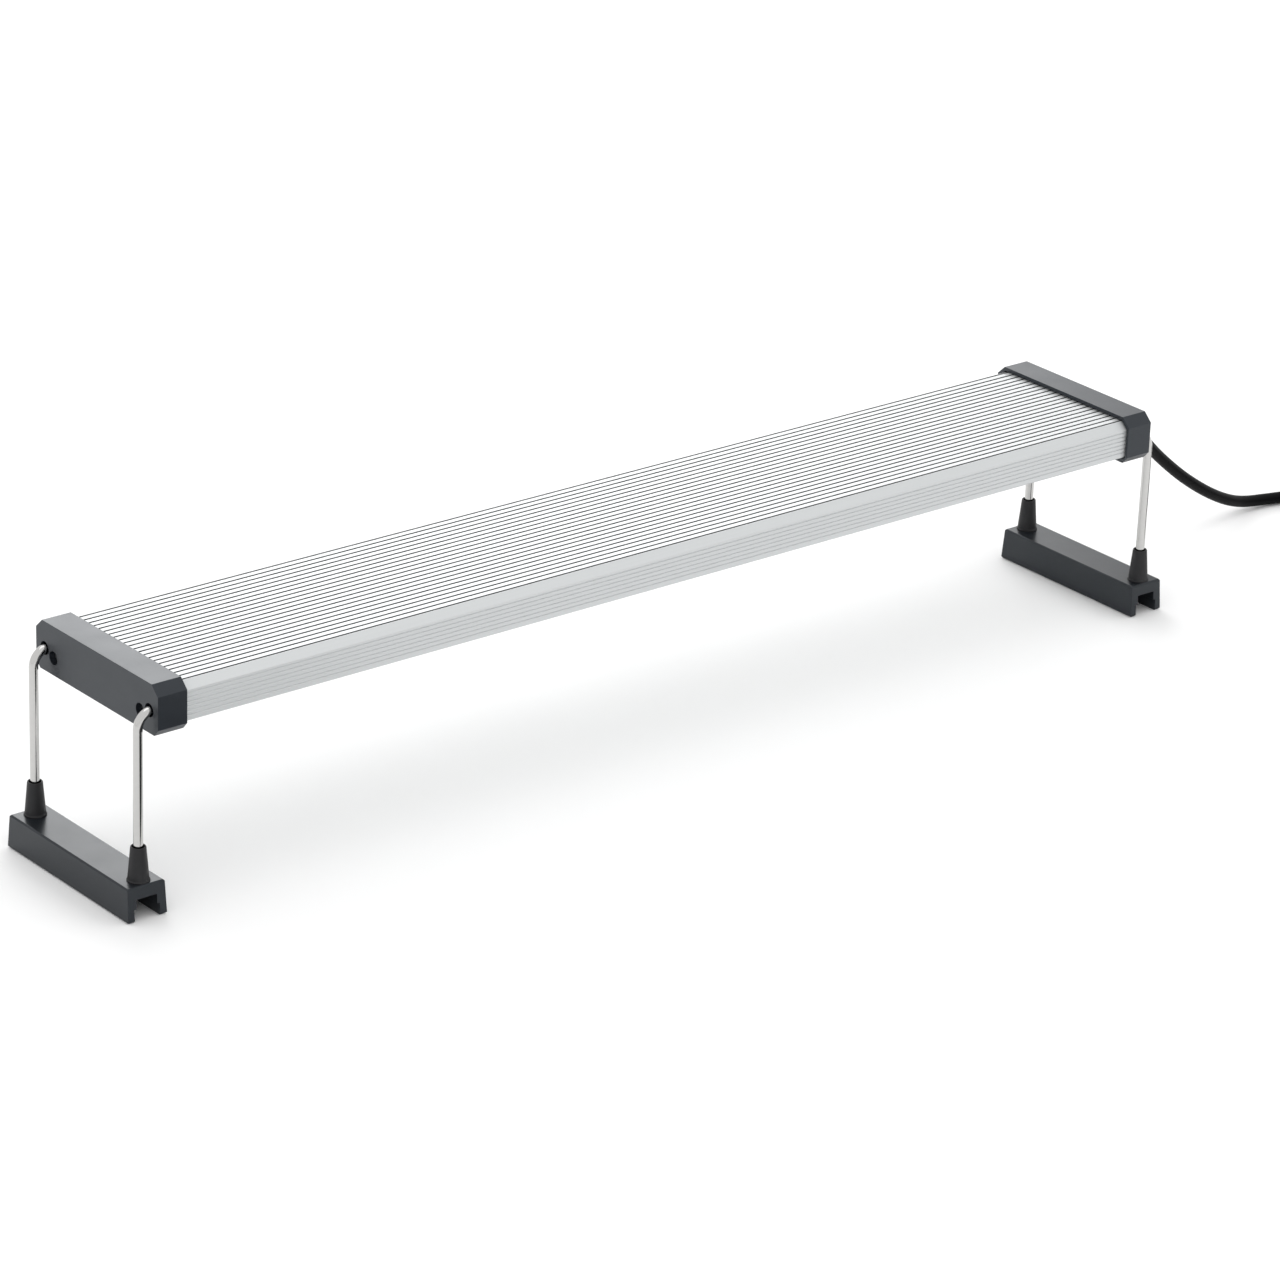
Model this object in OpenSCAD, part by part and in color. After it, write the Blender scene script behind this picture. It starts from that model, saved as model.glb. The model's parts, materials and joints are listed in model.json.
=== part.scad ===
// LED aquarium light on two sliding wire stands.
// X runs along the lamp, -Y is its front, +Z is up, and the rails stand on z = 0.
// Each stand slides out of its end cap along X, to suit tanks of several lengths.

/* [Lamp housing] */
// Length over the two end caps
lamp_l = 600; // [400:10:1200]
// Width of the aluminium housing
housing_w = 93; // [76:0.5:130]
// Height of the aluminium housing, fins included
housing_h = 18.5; // [17:0.1:26]
// Height of the housing's underside above the foot of the rails
housing_z = 89; // [60:1:160]
// Distance from one cooling groove to the next
fin_pitch = 3.97; // [3:0.01:6]
// Width of a cooling groove
groove_w = 1.1; // [0.6:0.1:2]
// Depth of a cooling groove
groove_d = 3.2; // [1:0.1:4]
// Thickness of the plate under the grooves
plate_t = 2.3; // [1.5:0.1:4]
// Width of the sloping edge beside the fins
slope_w = 4; // [2:0.1:6]
// Height of the sloping edge beside the fins
slope_h = 3.5; // [2:0.1:5]
// Thickness of the housing's two side walls
side_wall = 1.8; // [1.4:0.1:3]
// Thickness of the walls beside the light chamber
chamber_wall = 1.5; // [1:0.1:3]
// Thickness of the floor of the two side channels
channel_floor = 1.5; // [1:0.1:2.5]
// Distance from one line along the side to the next
line_pitch = 2.1; // [1.5:0.1:4]

/* [End caps] */
// Thickness of an end cap along the lamp
cap_t = 15.5; // [12.5:0.1:24]
// How far a cap stands proud of the housing's sides
cap_lip_side = 2; // [1.5:0.1:4]
// How far a cap stands proud of the fins
cap_lip_top = 2.5; // [1.5:0.1:4]
// How far a cap hangs below the housing
cap_lip_bottom = 3; // [2:0.1:5]
// Length of housing that reaches into a cap
cap_overlap = 5; // [3:0.5:7]
// Wall at the outer face of a cap
cap_wall = 2.5; // [2:0.1:4]
// Thickness of the seal between housing and cap
gasket_t = 1; // [0.5:0.1:2]

/* [Light] */
// Thickness of the clear cover
cover_t = 1.6; // [1:0.1:3]
// Distance between LEDs along the board
led_pitch = 15; // [8:1:30]
// Number of rows of LEDs
led_rows = 3; // [2:1:3]
// Length kept for the driver at the right end
driver_l = 88; // [86:1:140]

/* [Stands] */
// Diameter of the stainless wire
rod_d = 4.4; // [3.5:0.02:5.4]
// Distance from a cap's face to the upright wire, pushed in
rod_out = 6; // [5:0.1:12]
// Radius of the wire's bend, at its centre line
rod_bend_r = 8; // [6.5:0.1:12]
// How far a stand slides out
travel = 60; // [20:1:75]
// Length of the guide tube around a wire inside the housing
guide_l = 51; // [30:1:80]
// How far a foot rail reaches past its two wires at its top
rail_end = 6.2; // [5.4:0.1:20]
// Width of a foot rail at its top
rail_w = 19.8; // [17:0.1:26]
// Height of a foot rail
rail_h = 16.5; // [14:0.1:24]
// How much wider and longer a rail is at its foot
rail_draft = 1; // [0:0.1:2]
// Width of the rail's slot at its narrow part
slot_w = 10.8; // [8:0.1:12]
// Width of the rail's slot at its mouth
slot_mouth_w = 13.4; // [12.4:0.1:15]
// Height of the wide mouth
slot_mouth_h = 6; // [3:0.1:8]
// Depth of the slot
slot_depth = 10.6; // [9:0.1:11]
// Height of a sleeve above the rail
sleeve_h = 16.5; // [12:0.5:24]
// Diameter of a sleeve just above its rim
sleeve_base_d = 9.8; // [9:0.1:12]
// Diameter of a sleeve at its mouth
sleeve_top_d = 7.3; // [7:0.1:9]

/* [Cord and plug] */
// Diameter of the lead
cord_d = 6.2; // [5:0.1:7]
// Height of the lead's exit above the housing's underside
exit_z = 5; // [4.5:0.1:7]
// Length of the tapered strain relief outside the cap
relief_l = 22; // [20:1:30]
// Length of the plug's body
plug_l = 35; // [34:1:40]
// Distance between the plug's pins
pin_pitch = 19; // [18:0.1:19]

/* [Hidden] */
$fn = 64;
eps = 0.01;

silver = [0.80, 0.81, 0.83];
slate = [0.24, 0.26, 0.28];
charcoal = [0.17, 0.18, 0.19];
steel = [0.78, 0.78, 0.76];
soot = [0.05, 0.05, 0.05];

// clearances
run_gap = 0.04;      // wire in its grip
guide_gap = 0.08;    // wire in its guide tube
press_gap = 0.03;    // wire in its sleeve and rail
fit_gap = 0.05;      // pieces seated in the caps
skirt_gap = 0.5;     // housing in a cap's skirt
cover_gap = 0.1;     // clear cover in its grooves
cord_gap = 0.02;     // lead in its relief and plug
core_gap = 0.05;     // supply cores in the terminal

// places along the lamp, right end
end_x = lamp_l / 2;
housing_end = end_x - cap_t + cap_overlap;
web_x = housing_end + gasket_t;
rod_x = end_x + rod_out;

// heights in the housing's own frame, from its underside
ceiling = housing_h - groove_d - plate_t;
lip_low = 0.8;
cover_slot = cover_t + 2 * cover_gap;
lip_high = 0.8;
lip_w = 2;
chamber_low = lip_low + cover_slot + lip_high;

// wires, guides and screws across the lamp
rod_r = rod_d / 2;
guide_wall = 0.72;
guide_r = rod_r + guide_gap + guide_wall;
mouth_r = rod_r + 1;
seat_r = mouth_r + 0.4;
mouth_depth = 2.5;
flange_t = 2;
recess_r = 3.25;
recess_depth = 5;
bore_web = 0.65;
rod_y = housing_w / 2 - side_wall - guide_r - 0.1;
rod_z = ceiling - guide_r - 2;
screw_y = rod_y - mouth_r - recess_r - bore_web;
screw_z = rod_z - 2.5;
port_r = 2.8;
port_bore_r = 1.45;
port_web = 1.2;
port_rib = 1.6;
tap_spare = 4;
screw_l = 16;
screw_head_r = 2.85;
screw_head_t = 2.2;
screw_hole_r = 1.9;
seal_hole_r = 1.6;
cross_w = 0.7;
cross_l = 3.4;
chamber_out = screw_y - port_r - port_web;
chamber = chamber_out - chamber_wall;
channel_out = housing_w / 2 - side_wall;

// fins and side lines
flat_half = housing_w / 2 - slope_w;
fin_edge_min = 0.2;
half_grooves = floor((flat_half - fin_edge_min - groove_w / 2) / fin_pitch - 0.5) + 1;
line_top = housing_h - slope_h - 1.4;
line_low = 1.5;
line_count = floor((line_top - line_low) / line_pitch) + 1;
line_w = 0.7;
line_d = 0.45;
edge_cut = 0.8;

// caps
cap_w = housing_w + 2 * cap_lip_side;
cap_slope_w = 4.8;
cap_slope_h = 4.6;
cap_foot_w = 3;
cap_foot_h = 3.4;
pocket_half = chamber_out - 2;
pocket_low = -1;
pocket_high = ceiling + 3;
seal_edge = 1;
seal_in = 0.2;
wire_slot_half = 18;
wire_slot_up = 3.5;

// light chamber
board_t = 1.6;
pad_t = 0.5;
board_half = chamber - 1;
board_face = ceiling - pad_t - board_t;
board_x0 = -housing_end + 5;
board_x1 = housing_end - driver_l - 6;
cover_end_gap = 0.5;
row_edge = 10;
row_y = board_half - row_edge;
mid_row_y = -4.5;
led_margin = 8;
led_w = 2.8;
led_l = 3.5;
led_t = 0.8;
lens_r = 1.15;
lens_t = 0.15;
led_count = floor((board_x1 - board_x0 - 2 * led_margin) / led_pitch) + 1;
led_x0 = (board_x0 + board_x1 - (led_count - 1) * led_pitch) / 2;
driver_x0 = housing_end - driver_l;
driver_x1 = housing_end - 8;
driver_half = board_half - 2;
board_mid = (board_x0 + board_x1) / 2;
screw_in = 12.5;
screw_mid = 70;
screw_xs = [board_x0 + screw_in, board_mid - screw_mid, board_mid + screw_mid, board_x1 - screw_in];
board_screw_r = 1.2;
board_hole_r = 1.4;
pad_hole_r = 1.6;
board_tap_r = 1.25;
board_head_r = 2.3;
board_head_t = 1.5;
board_cross_w = 0.6;
board_cross_l = 2.8;
board_screw_in = 1.6;
core_y = 1.9;
core_r = 1.05;
link_y = 5;
link_r = 0.65;

// stands
rail_l = 2 * (rod_y + rail_end);
rod_foot_z = slot_depth + 1.5;
spigot_r = 3.5;
spigot_h = 2;
rim_w = 0.45;
rail_cut = 0.7;
stop_l = 6;
stop_x = web_x - guide_l - travel - 0.5;
rod_end_x = stop_x - stop_l - 3;

// cord: chosen points of its route, then the coil
cord_r = cord_d / 2;
lead_in = 8;
relief_neck_r = 3.9;
relief_lip_r = 4.7;
relief_lip_t = 1.5;
relief_flange_r = 5.3;
relief_r = 4.9;
relief_tip_r = 3.95;
relief_cuts = 4;
relief_cut_w = 1.1;
LEAD = [
    [292, 0, 94], [302, 0, 94], [312, 0, 94], [324, 1, 91.5], [338, 6, 82.5], [353, 12, 69],
    [370, 16, 53.5], [387, 18, 39.5], [402, 19, 28.5], [418, 20, 18.5], [434, 22, 10.5],
    [449, 24, 5.4], [464, 23, 3.6], [478, 19, 3.4], [492, 11, 3.4], [506, 1, 3.7], [517, -7, 4]
];
TAIL = [
    [495, -88.7, 10.5], [484, -88.7, 10.2], [472, -88.7, 8.9], [462, -88.7, 7.5], [454, -88.7, 6.9],
    [436, -88.7, 6.9]
];
COIL_X = 495;
COIL_Y = -45;
coil_mid_r = 37.2;
turn_gap = 6.5;
layers = 2;
tie_t = 0.9;
tie_w = 4.5;
tie_angles = [150, -30];
coil_in = coil_mid_r - turn_gap - cord_r;
coil_out = coil_mid_r + turn_gap + cord_r;
coil_top = tie_t + turn_gap * (layers - 1) + cord_d;

// plug, pins pointing along -X
plug_x = 456;
plug_y = -88.7;
plug_z = 6.9;
plug_relief_l = 20;
plug_w = 35.3;
plug_h = 13.7;
plug_tail_w = 13;
pin_l = 19;
pin_r = 2;
pin_sleeve_l = 10;
pin_sleeve_r = 1.75;
pin_core_r = 1.3;
pin_root = 9;
plug_front = plug_relief_l + plug_l;
plug_cone_r = 3.9;
plug_cone_end_r = 5.6;
plug_cut_w = 1.4;

// ---- helpers ----

// the right or left end of the lamp: +x points out of the cap's face
module at_end(side) {
    mirror([side < 0 ? 1 : 0, 0, 0]) children();
}

module along_x(x0, x1) {
    translate([x0, 0, 0]) rotate([90, 0, 90]) linear_extrude(x1 - x0) children();
}

// a round bar along X
module bar(x0, x1, r, y = 0, z = 0) {
    translate([x0, y, z]) rotate([0, 90, 0]) cylinder(r = r, h = x1 - x0);
}

module block(x0, x1, y0, y1, z0, z1) {
    translate([x0, y0, z0]) cube([x1 - x0, y1 - y0, z1 - z0]);
}

// closed outline from the points of its right half
function both_sides(half) = concat(half, [for (i = [len(half) - 1:-1:0]) [-half[i][0], half[i][1]]]);

// eight-sided section: width, foot, top, upper slope and lower slope
function slab(w, z0, z1, sw, sh, fw, fh) = both_sides([
    [w / 2 - fw, z0], [w / 2, z0 + fh], [w / 2, z1 - sh], [w / 2 - sw, z1]
]);

function unit(v) = v / norm(v);

// a tube swept along a list of points that never runs straight up
module swept_tube(path, r, sides = 10) {
    n = len(path);
    ways = [for (i = [0:n - 1]) unit(path[min(i + 1, n - 1)] - path[max(i - 1, 0)])];
    points = [
        for (i = [0:n - 1])
            let (across = unit(cross(ways[i], [0, 0, 1])), up = cross(across, ways[i]))
            for (k = [0:sides - 1])
                path[i] + r * (cos(360 * k / sides) * across + sin(360 * k / sides) * up)
    ];
    walls = [
        for (i = [0:n - 2], k = [0:sides - 1])
            let (a = i * sides + k, b = i * sides + (k + 1) % sides)
            [a, b, b + sides, a + sides]
    ];
    caps = [[for (k = [sides - 1:-1:0]) k], [for (k = [0:sides - 1]) (n - 1) * sides + k]];
    polyhedron(points, concat(walls, caps));
}

// ---- housing ----

function housing_half() = concat(
    [[0, ceiling], [chamber, ceiling], [chamber, chamber_low]],
    [[chamber - lip_w, chamber_low], [chamber - lip_w, lip_low + cover_slot]],
    [[chamber, lip_low + cover_slot], [chamber, lip_low], [chamber - lip_w, lip_low]],
    [[chamber - lip_w, 0], [housing_w / 2 - edge_cut, 0], [housing_w / 2, edge_cut]],
    [
        for (i = [line_count - 1:-1:0])
            let (z = line_top - i * line_pitch)
            each [
                [housing_w / 2, z - line_w / 2], [housing_w / 2 - line_d, z],
                [housing_w / 2, z + line_w / 2]
            ]
    ],
    [[housing_w / 2, housing_h - slope_h], [flat_half, housing_h]],
    [
        for (i = [half_grooves - 1:-1:0])
            let (y = (i + 0.5) * fin_pitch)
            each [
                [y + groove_w / 2, housing_h], [y + groove_w / 2, housing_h - groove_d],
                [y - groove_w / 2, housing_h - groove_d], [y - groove_w / 2, housing_h]
            ]
    ]
);

// side channel for a wire, with the screw port left standing in it
module side_channel() {
    difference() {
        translate([chamber_out, channel_floor])
            square([channel_out - chamber_out, ceiling - channel_floor]);
        translate([screw_y, screw_z]) circle(r = port_r);
        translate([chamber_out - 1, screw_z - port_rib / 2])
            square([screw_y - chamber_out + 1, port_rib]);
    }
}

module housing() {
    half = housing_half();
    outline = concat(half, [for (i = [len(half) - 1:-1:1]) [-half[i][0], half[i][1]]]);
    color(silver) translate([0, 0, housing_z]) difference() {
        along_x(-housing_end, housing_end) difference() {
            polygon(outline);
            side_channel();
            mirror([1, 0]) side_channel();
        }
        for (side = [-1, 1], y = [-screw_y, screw_y])
            at_end(side) bar(housing_end - screw_l - tap_spare, housing_end + 1, port_bore_r, y, screw_z);
        for (x = screw_xs)
            translate([x, 0, ceiling - 1]) cylinder(r = board_tap_r, h = 3);
    }
}

// ---- light chamber ----

module clear_cover() {
    half = chamber - cover_gap;
    color([0.9, 0.95, 1, 0.35]) translate([0, 0, housing_z])
        block(-housing_end + cover_end_gap, housing_end - cover_end_gap, -half, half,
              lip_low + cover_gap, lip_low + cover_gap + cover_t);
}

module thermal_pad() {
    color("lightgrey") translate([0, 0, housing_z]) difference() {
        block(board_x0, board_x1, -board_half, board_half, ceiling - pad_t, ceiling);
        for (x = screw_xs) translate([x, 0, 0]) cylinder(r = pad_hole_r, h = ceiling + 1);
    }
}

module led_board() {
    color("white") translate([0, 0, housing_z]) difference() {
        block(board_x0, board_x1, -board_half, board_half, board_face, ceiling - pad_t);
        for (x = screw_xs) translate([x, 0, 0]) cylinder(r = board_hole_r, h = ceiling + 1);
    }
}

module led() {
    translate([-led_w / 2, -led_l / 2, -led_t]) cube([led_w, led_l, led_t]);
    translate([0, 0, -led_t - lens_t]) cylinder(r = lens_r, h = 2 * lens_t);
}

module leds() {
    rows = led_rows == 3 ? [-row_y, 0, row_y] : [-row_y, row_y];
    color([1, 0.93, 0.6]) translate([0, 0, housing_z + board_face])
        for (i = [0:led_count - 1], y = rows)
            translate([led_x0 + i * led_pitch, y == 0 ? mid_row_y : y, 0]) led();
}

module board_screws() {
    color(steel) translate([0, 0, housing_z]) for (x = screw_xs) translate([x, 0, 0]) {
        translate([0, 0, board_face - board_head_t]) difference() {
            cylinder(r = board_head_r, h = board_head_t);
            translate([-board_cross_l / 2, -board_cross_w / 2, -1]) cube([board_cross_l, board_cross_w, 1.8]);
            translate([-board_cross_w / 2, -board_cross_l / 2, -1]) cube([board_cross_w, board_cross_l, 1.8]);
        }
        translate([0, 0, board_face - eps])
            cylinder(r = board_screw_r, h = ceiling + board_screw_in - board_face);
    }
}

module driver_pad() {
    color("lightgrey") translate([0, 0, housing_z])
        block(driver_x0, driver_x1, -driver_half, driver_half, ceiling - pad_t, ceiling);
}

module driver_board() {
    color([0.1, 0.35, 0.2]) translate([0, 0, housing_z])
        block(driver_x0, driver_x1, -driver_half, driver_half, board_face, ceiling - pad_t);
}

// parts that hang from the driver board: terminal, capacitors, transformer, chip, coil
module driver_parts() {
    low = chamber_low + 1.6;
    drop = board_face - low;
    color("dimgrey") translate([0, 0, housing_z]) {
        difference() {
            block(driver_x1 - 11, driver_x1 - 2, -6.5, 6.5, low, board_face);
            for (y = [-core_y, core_y])
                bar(driver_x1 - 8, driver_x1, core_r + core_gap, y, exit_z);
        }
        bar(driver_x1 - 34, driver_x1 - 16, drop / 2, -10, low + drop / 2);
        bar(driver_x1 - 30, driver_x1 - 16, drop / 2, 0.5, low + drop / 2);
        block(driver_x1 - 34, driver_x1 - 18, 6, 15, low + 1, board_face);
        block(driver_x0 + 22, driver_x0 + 42, -10, 10, low, board_face);
        block(driver_x0 + 6, driver_x0 + 14, -4, 4, board_face - 1.5, board_face);
        translate([driver_x0 + 11, 11, low + 1.5]) cylinder(r = 4.5, h = board_face - low - 1.5);
    }
}

module driver_cover() {
    low = chamber_low;
    half = chamber - lip_w / 4;
    color([0.95, 0.95, 0.95]) translate([0, 0, housing_z]) difference() {
        block(driver_x0 - 2, driver_x1 + 1.5, -half, half, low, board_face + 0.8);
        block(driver_x0 - 1, driver_x1 + 0.5, -half + 1, half - 1, low + 1, board_face + 1);
        block(driver_x1 - 7.5, driver_x1 + 2, -3.2, 3.2, low - 1, board_face + 1);
        block(driver_x0 - 3, driver_x0, -8, 8, board_face - 1.8, board_face + 1);
    }
}

module link_wires() {
    color("firebrick") translate([0, 0, housing_z]) for (y = [-link_y, link_y])
        bar(board_x1 - 6, driver_x0 + 5, link_r, y, board_face - link_r);
}

module supply_wires() {
    color("saddlebrown") translate([0, 0, housing_z]) for (y = [-core_y, core_y])
        bar(driver_x1 - 7, end_x - lead_in, core_r, y, exit_z);
}

// ---- end caps ----

module relief_bore() {
    bar(web_x, end_x + 1, relief_neck_r + fit_gap, 0, exit_z);
}

module end_cap_body() {
    difference() {
        along_x(end_x - cap_t, end_x)
            polygon(slab(cap_w, -cap_lip_bottom, housing_h + cap_lip_top,
                         cap_slope_w, cap_slope_h, cap_foot_w, cap_foot_h));
        // the skirt that the housing reaches into
        along_x(end_x - cap_t - 1, web_x)
            polygon(slab(housing_w + 2 * skirt_gap, -skirt_gap, housing_h + skirt_gap,
                         slope_w, slope_h, edge_cut, edge_cut));
        // room for the wiring
        block(web_x - 1, end_x - cap_wall, -pocket_half, pocket_half, pocket_low, pocket_high);
        for (y = [-rod_y, rod_y]) {
            bar(web_x - 1, end_x - mouth_depth, seat_r, y, rod_z);
            bar(web_x - 1, end_x + 1, mouth_r, y, rod_z);
        }
        for (y = [-screw_y, screw_y]) {
            bar(web_x - 1, end_x, screw_hole_r, y, screw_z);
            bar(end_x - recess_depth, end_x + 1, recess_r, y, screw_z);
        }
    }
}

module end_cap_left() {
    color(slate) translate([0, 0, housing_z]) at_end(-1) end_cap_body();
}

module end_cap_right() {
    color(slate) translate([0, 0, housing_z]) difference() {
        end_cap_body();
        relief_bore();
    }
}

module cap_seal(side) {
    color(soot) translate([0, 0, housing_z]) at_end(side) difference() {
        along_x(housing_end, web_x)
            polygon(slab(housing_w - 2 * seal_in, seal_in, housing_h - groove_d - 2 * seal_in,
                         seal_edge, seal_edge, seal_edge, seal_edge));
        block(housing_end - 1, web_x + 1, -wire_slot_half, wire_slot_half,
              exit_z - wire_slot_up, exit_z + wire_slot_up);
        for (y = [-rod_y, rod_y]) bar(housing_end - 1, web_x + 1, guide_r + fit_gap, y, rod_z);
        for (y = [-screw_y, screw_y]) bar(housing_end - 1, web_x + 1, seal_hole_r, y, screw_z);
    }
}

module cap_screw() {
    seat = end_x - recess_depth;
    difference() {
        union() {
            bar(seat, seat + screw_head_t, screw_head_r);
            bar(seat - screw_l, seat + eps, port_bore_r - fit_gap);
        }
        block(seat + 0.8, end_x, -cross_l / 2, cross_l / 2, -cross_w / 2, cross_w / 2);
        block(seat + 0.8, end_x, -cross_w / 2, cross_w / 2, -cross_l / 2, cross_l / 2);
    }
}

module cap_screws(side) {
    color(steel) translate([0, 0, housing_z]) at_end(side)
        for (y = [-screw_y, screw_y]) translate([0, y, screw_z]) cap_screw();
}

// ---- stands ----

module rod_guides(side) {
    color("ivory") translate([0, 0, housing_z]) at_end(side) for (y = [-rod_y, rod_y])
        difference() {
            union() {
                bar(web_x - guide_l, web_x + flange_t, guide_r, y, rod_z);
                bar(web_x, web_x + flange_t, seat_r - fit_gap, y, rod_z);
            }
            bar(web_x - guide_l - 1, web_x + flange_t + 1, rod_r + guide_gap, y, rod_z);
        }
}

module rod_grips(side) {
    color(soot) translate([0, 0, housing_z]) at_end(side) for (y = [-rod_y, rod_y])
        difference() {
            bar(web_x + flange_t + 0.1, end_x - mouth_depth - 0.1, seat_r - fit_gap, y, rod_z);
            bar(web_x, end_x, rod_r + run_gap, y, rod_z);
        }
}

// one bent wire: a leg in the housing, a bend, and an upright that ends in the rail
module rod(side, y) {
    top = housing_z + rod_z;
    color(steel) at_end(side) {
        bar(rod_end_x, rod_x - rod_bend_r, rod_r, y, top);
        translate([rod_x - rod_bend_r, y, top - rod_bend_r]) rotate([90, 0, 0])
            rotate_extrude(angle = 90) translate([rod_bend_r, 0]) circle(r = rod_r);
        translate([rod_x, y, rod_foot_z]) cylinder(r = rod_r, h = top - rod_bend_r - rod_foot_z);
    }
}

module rod_stops(side) {
    color("goldenrod") translate([0, 0, housing_z]) at_end(side) for (y = [-rod_y, rod_y])
        difference() {
            bar(stop_x - stop_l, stop_x, guide_r - 0.1, y, rod_z);
            bar(stop_x - stop_l - 1, stop_x + 1, rod_r + press_gap, y, rod_z);
        }
}

module sleeve(side, y) {
    base = sleeve_base_d / 2;
    top = sleeve_top_d / 2;
    bore = rod_r + press_gap;
    color(charcoal) translate([side * rod_x, y, rail_h]) rotate_extrude() polygon([
        [bore, -spigot_h], [spigot_r - fit_gap, -spigot_h], [spigot_r - fit_gap, 0],
        [base + rim_w, 0], [base + rim_w, 0.5], [base, 1.3], [top, sleeve_h - 0.6],
        [top - 0.4, sleeve_h], [bore + 0.75, sleeve_h], [bore + 0.6, sleeve_h - 2.2],
        [bore, sleeve_h - 2.8]
    ]);
}

module rail(side) {
    cut = rail_cut;
    w = rail_w / 2;
    foot = w + rail_draft / 2;
    color(slate) translate([side * rod_x, 0, 0]) difference() {
        intersection() {
            translate([0, rail_l, 0]) rotate([90, 0, 0]) linear_extrude(2 * rail_l)
                polygon(both_sides([
                    [slot_mouth_w / 2, 0], [foot - cut, 0], [foot, cut],
                    [w, rail_h - cut], [w - cut, rail_h]
                ]));
            along_x(-rail_w, rail_w) polygon(both_sides([
                [rail_l / 2 + rail_draft - cut, 0], [rail_l / 2 + rail_draft, cut],
                [rail_l / 2, rail_h - cut], [rail_l / 2 - cut, rail_h]
            ]));
        }
        block(-slot_w / 2, slot_w / 2, -rail_l, rail_l, -1, slot_depth);
        block(-slot_mouth_w / 2, slot_mouth_w / 2, -rail_l, rail_l, -1, slot_mouth_h);
        for (y = [-rod_y, rod_y]) translate([0, y, 0]) {
            translate([0, 0, rod_foot_z]) cylinder(r = rod_r + press_gap, h = rail_h);
            translate([0, 0, rail_h - spigot_h - fit_gap]) cylinder(r = spigot_r, h = rail_h);
        }
    }
}

// ---- cord ----

// tapered strain relief, snapped into the right cap, with cuts that let it flex
module strain_relief() {
    outer = end_x + relief_l;
    inner = end_x - cap_wall;
    step = (relief_l - 7) / relief_cuts;
    function skin(x) = relief_r + (relief_tip_r - relief_r) * (x - end_x - 2) / (relief_l - 2);
    bore = cord_r + cord_gap;
    cut_r = cord_r + 0.45;
    points = concat(
        [[bore, inner - relief_lip_t], [relief_lip_r, inner - relief_lip_t], [relief_lip_r, inner]],
        [[relief_neck_r, inner], [relief_neck_r, end_x], [relief_flange_r, end_x]],
        [[relief_flange_r, end_x + 1.2], [relief_r, end_x + 2]],
        [
            for (i = [0:relief_cuts - 1])
                let (x = end_x + 4.5 + i * step, x1 = x + relief_cut_w)
                each [[skin(x), x], [cut_r, x], [cut_r, x1], [skin(x1), x1]]
        ],
        [[relief_tip_r, outer - 0.5], [relief_tip_r - 0.4, outer], [bore, outer]]
    );
    color(soot) translate([0, 0, housing_z + exit_z]) rotate([0, 90, 0])
        rotate_extrude() polygon(points);
}

module cord_lead() {
    color(soot) swept_tube(LEAD, cord_r);
}

module cord_tail() {
    color(soot) swept_tube(TAIL, cord_r);
}

module cord_coil() {
    color(soot) translate([COIL_X, COIL_Y, 0]) rotate_extrude($fn = 96) polygon([
        [coil_in + 1.5, tie_t], [coil_out - 1.5, tie_t], [coil_out, tie_t + 1.5],
        [coil_out, coil_top - 1.5], [coil_out - 1.5, coil_top], [coil_in + 1.5, coil_top],
        [coil_in, coil_top - 1.5], [coil_in, tie_t + 1.5]
    ]);
}

module coil_ties() {
    color([0.1, 0.1, 0.1]) translate([COIL_X, COIL_Y, 0]) for (a = tie_angles) rotate([0, 0, a])
        difference() {
            block(coil_in - tie_t, coil_out + tie_t, -tie_w / 2, tie_w / 2, 0, coil_top + tie_t);
            block(coil_in, coil_out, -tie_w, tie_w, tie_t, coil_top);
        }
}

// ---- plug, built along +X from the cord's end and turned to point along -X ----

module at_plug() {
    translate([plug_x, plug_y, plug_z]) rotate([0, 0, 180]) children();
}

module plug_body() {
    front = plug_front;
    half_h = plug_h / 2;
    color(soot) at_plug() difference() {
        union() {
            intersection() {
                translate([0, 0, -half_h]) linear_extrude(plug_h) polygon(concat(
                    [[plug_relief_l, -plug_tail_w / 2], [front - 9, -plug_w / 2 + 4.5]],
                    [[front - 2, -plug_w / 2], [front, -plug_w / 2 + 0.5]],
                    [[front, plug_w / 2 - 0.5], [front - 2, plug_w / 2]],
                    [[front - 9, plug_w / 2 - 4.5], [plug_relief_l, plug_tail_w / 2]]
                ));
                along_x(0, front + 1)
                    polygon(slab(plug_w + 1, -half_h, half_h, 5.5, 3.2, 5.5, 3.2));
            }
            rotate([0, 90, 0])
                cylinder(r1 = plug_cone_r, r2 = plug_cone_end_r, h = plug_relief_l + eps);
        }
        for (x = [5:4:17]) difference() {
            bar(x, x + plug_cut_w, plug_cone_end_r + 1.4);
            bar(x - 1, x + 3, cord_r + 0.5);
        }
        bar(-1, plug_relief_l, cord_r + cord_gap);
        for (y = [-pin_pitch / 2, pin_pitch / 2]) bar(front - pin_root, front + 1, pin_sleeve_r, y);
    }
}

module plug_pins() {
    front = plug_front;
    color([0.8, 0.75, 0.6]) at_plug() for (y = [-pin_pitch / 2, pin_pitch / 2]) {
        bar(front - pin_root, front + pin_sleeve_l + eps, pin_core_r, y);
        bar(front + pin_sleeve_l, front + pin_l - 1, pin_r, y);
        translate([front + pin_l - 1 - eps, y, 0]) rotate([0, 90, 0])
            cylinder(r1 = pin_r, r2 = pin_r - 0.8, h = 1 + eps);
    }
}

module plug_pin_sleeves() {
    front = plug_front;
    color(soot) at_plug() for (y = [-pin_pitch / 2, pin_pitch / 2]) difference() {
        bar(front - pin_root, front + pin_sleeve_l, pin_sleeve_r, y);
        bar(front - pin_root - 1, front + pin_sleeve_l + 1, pin_core_r, y);
    }
}

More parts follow.
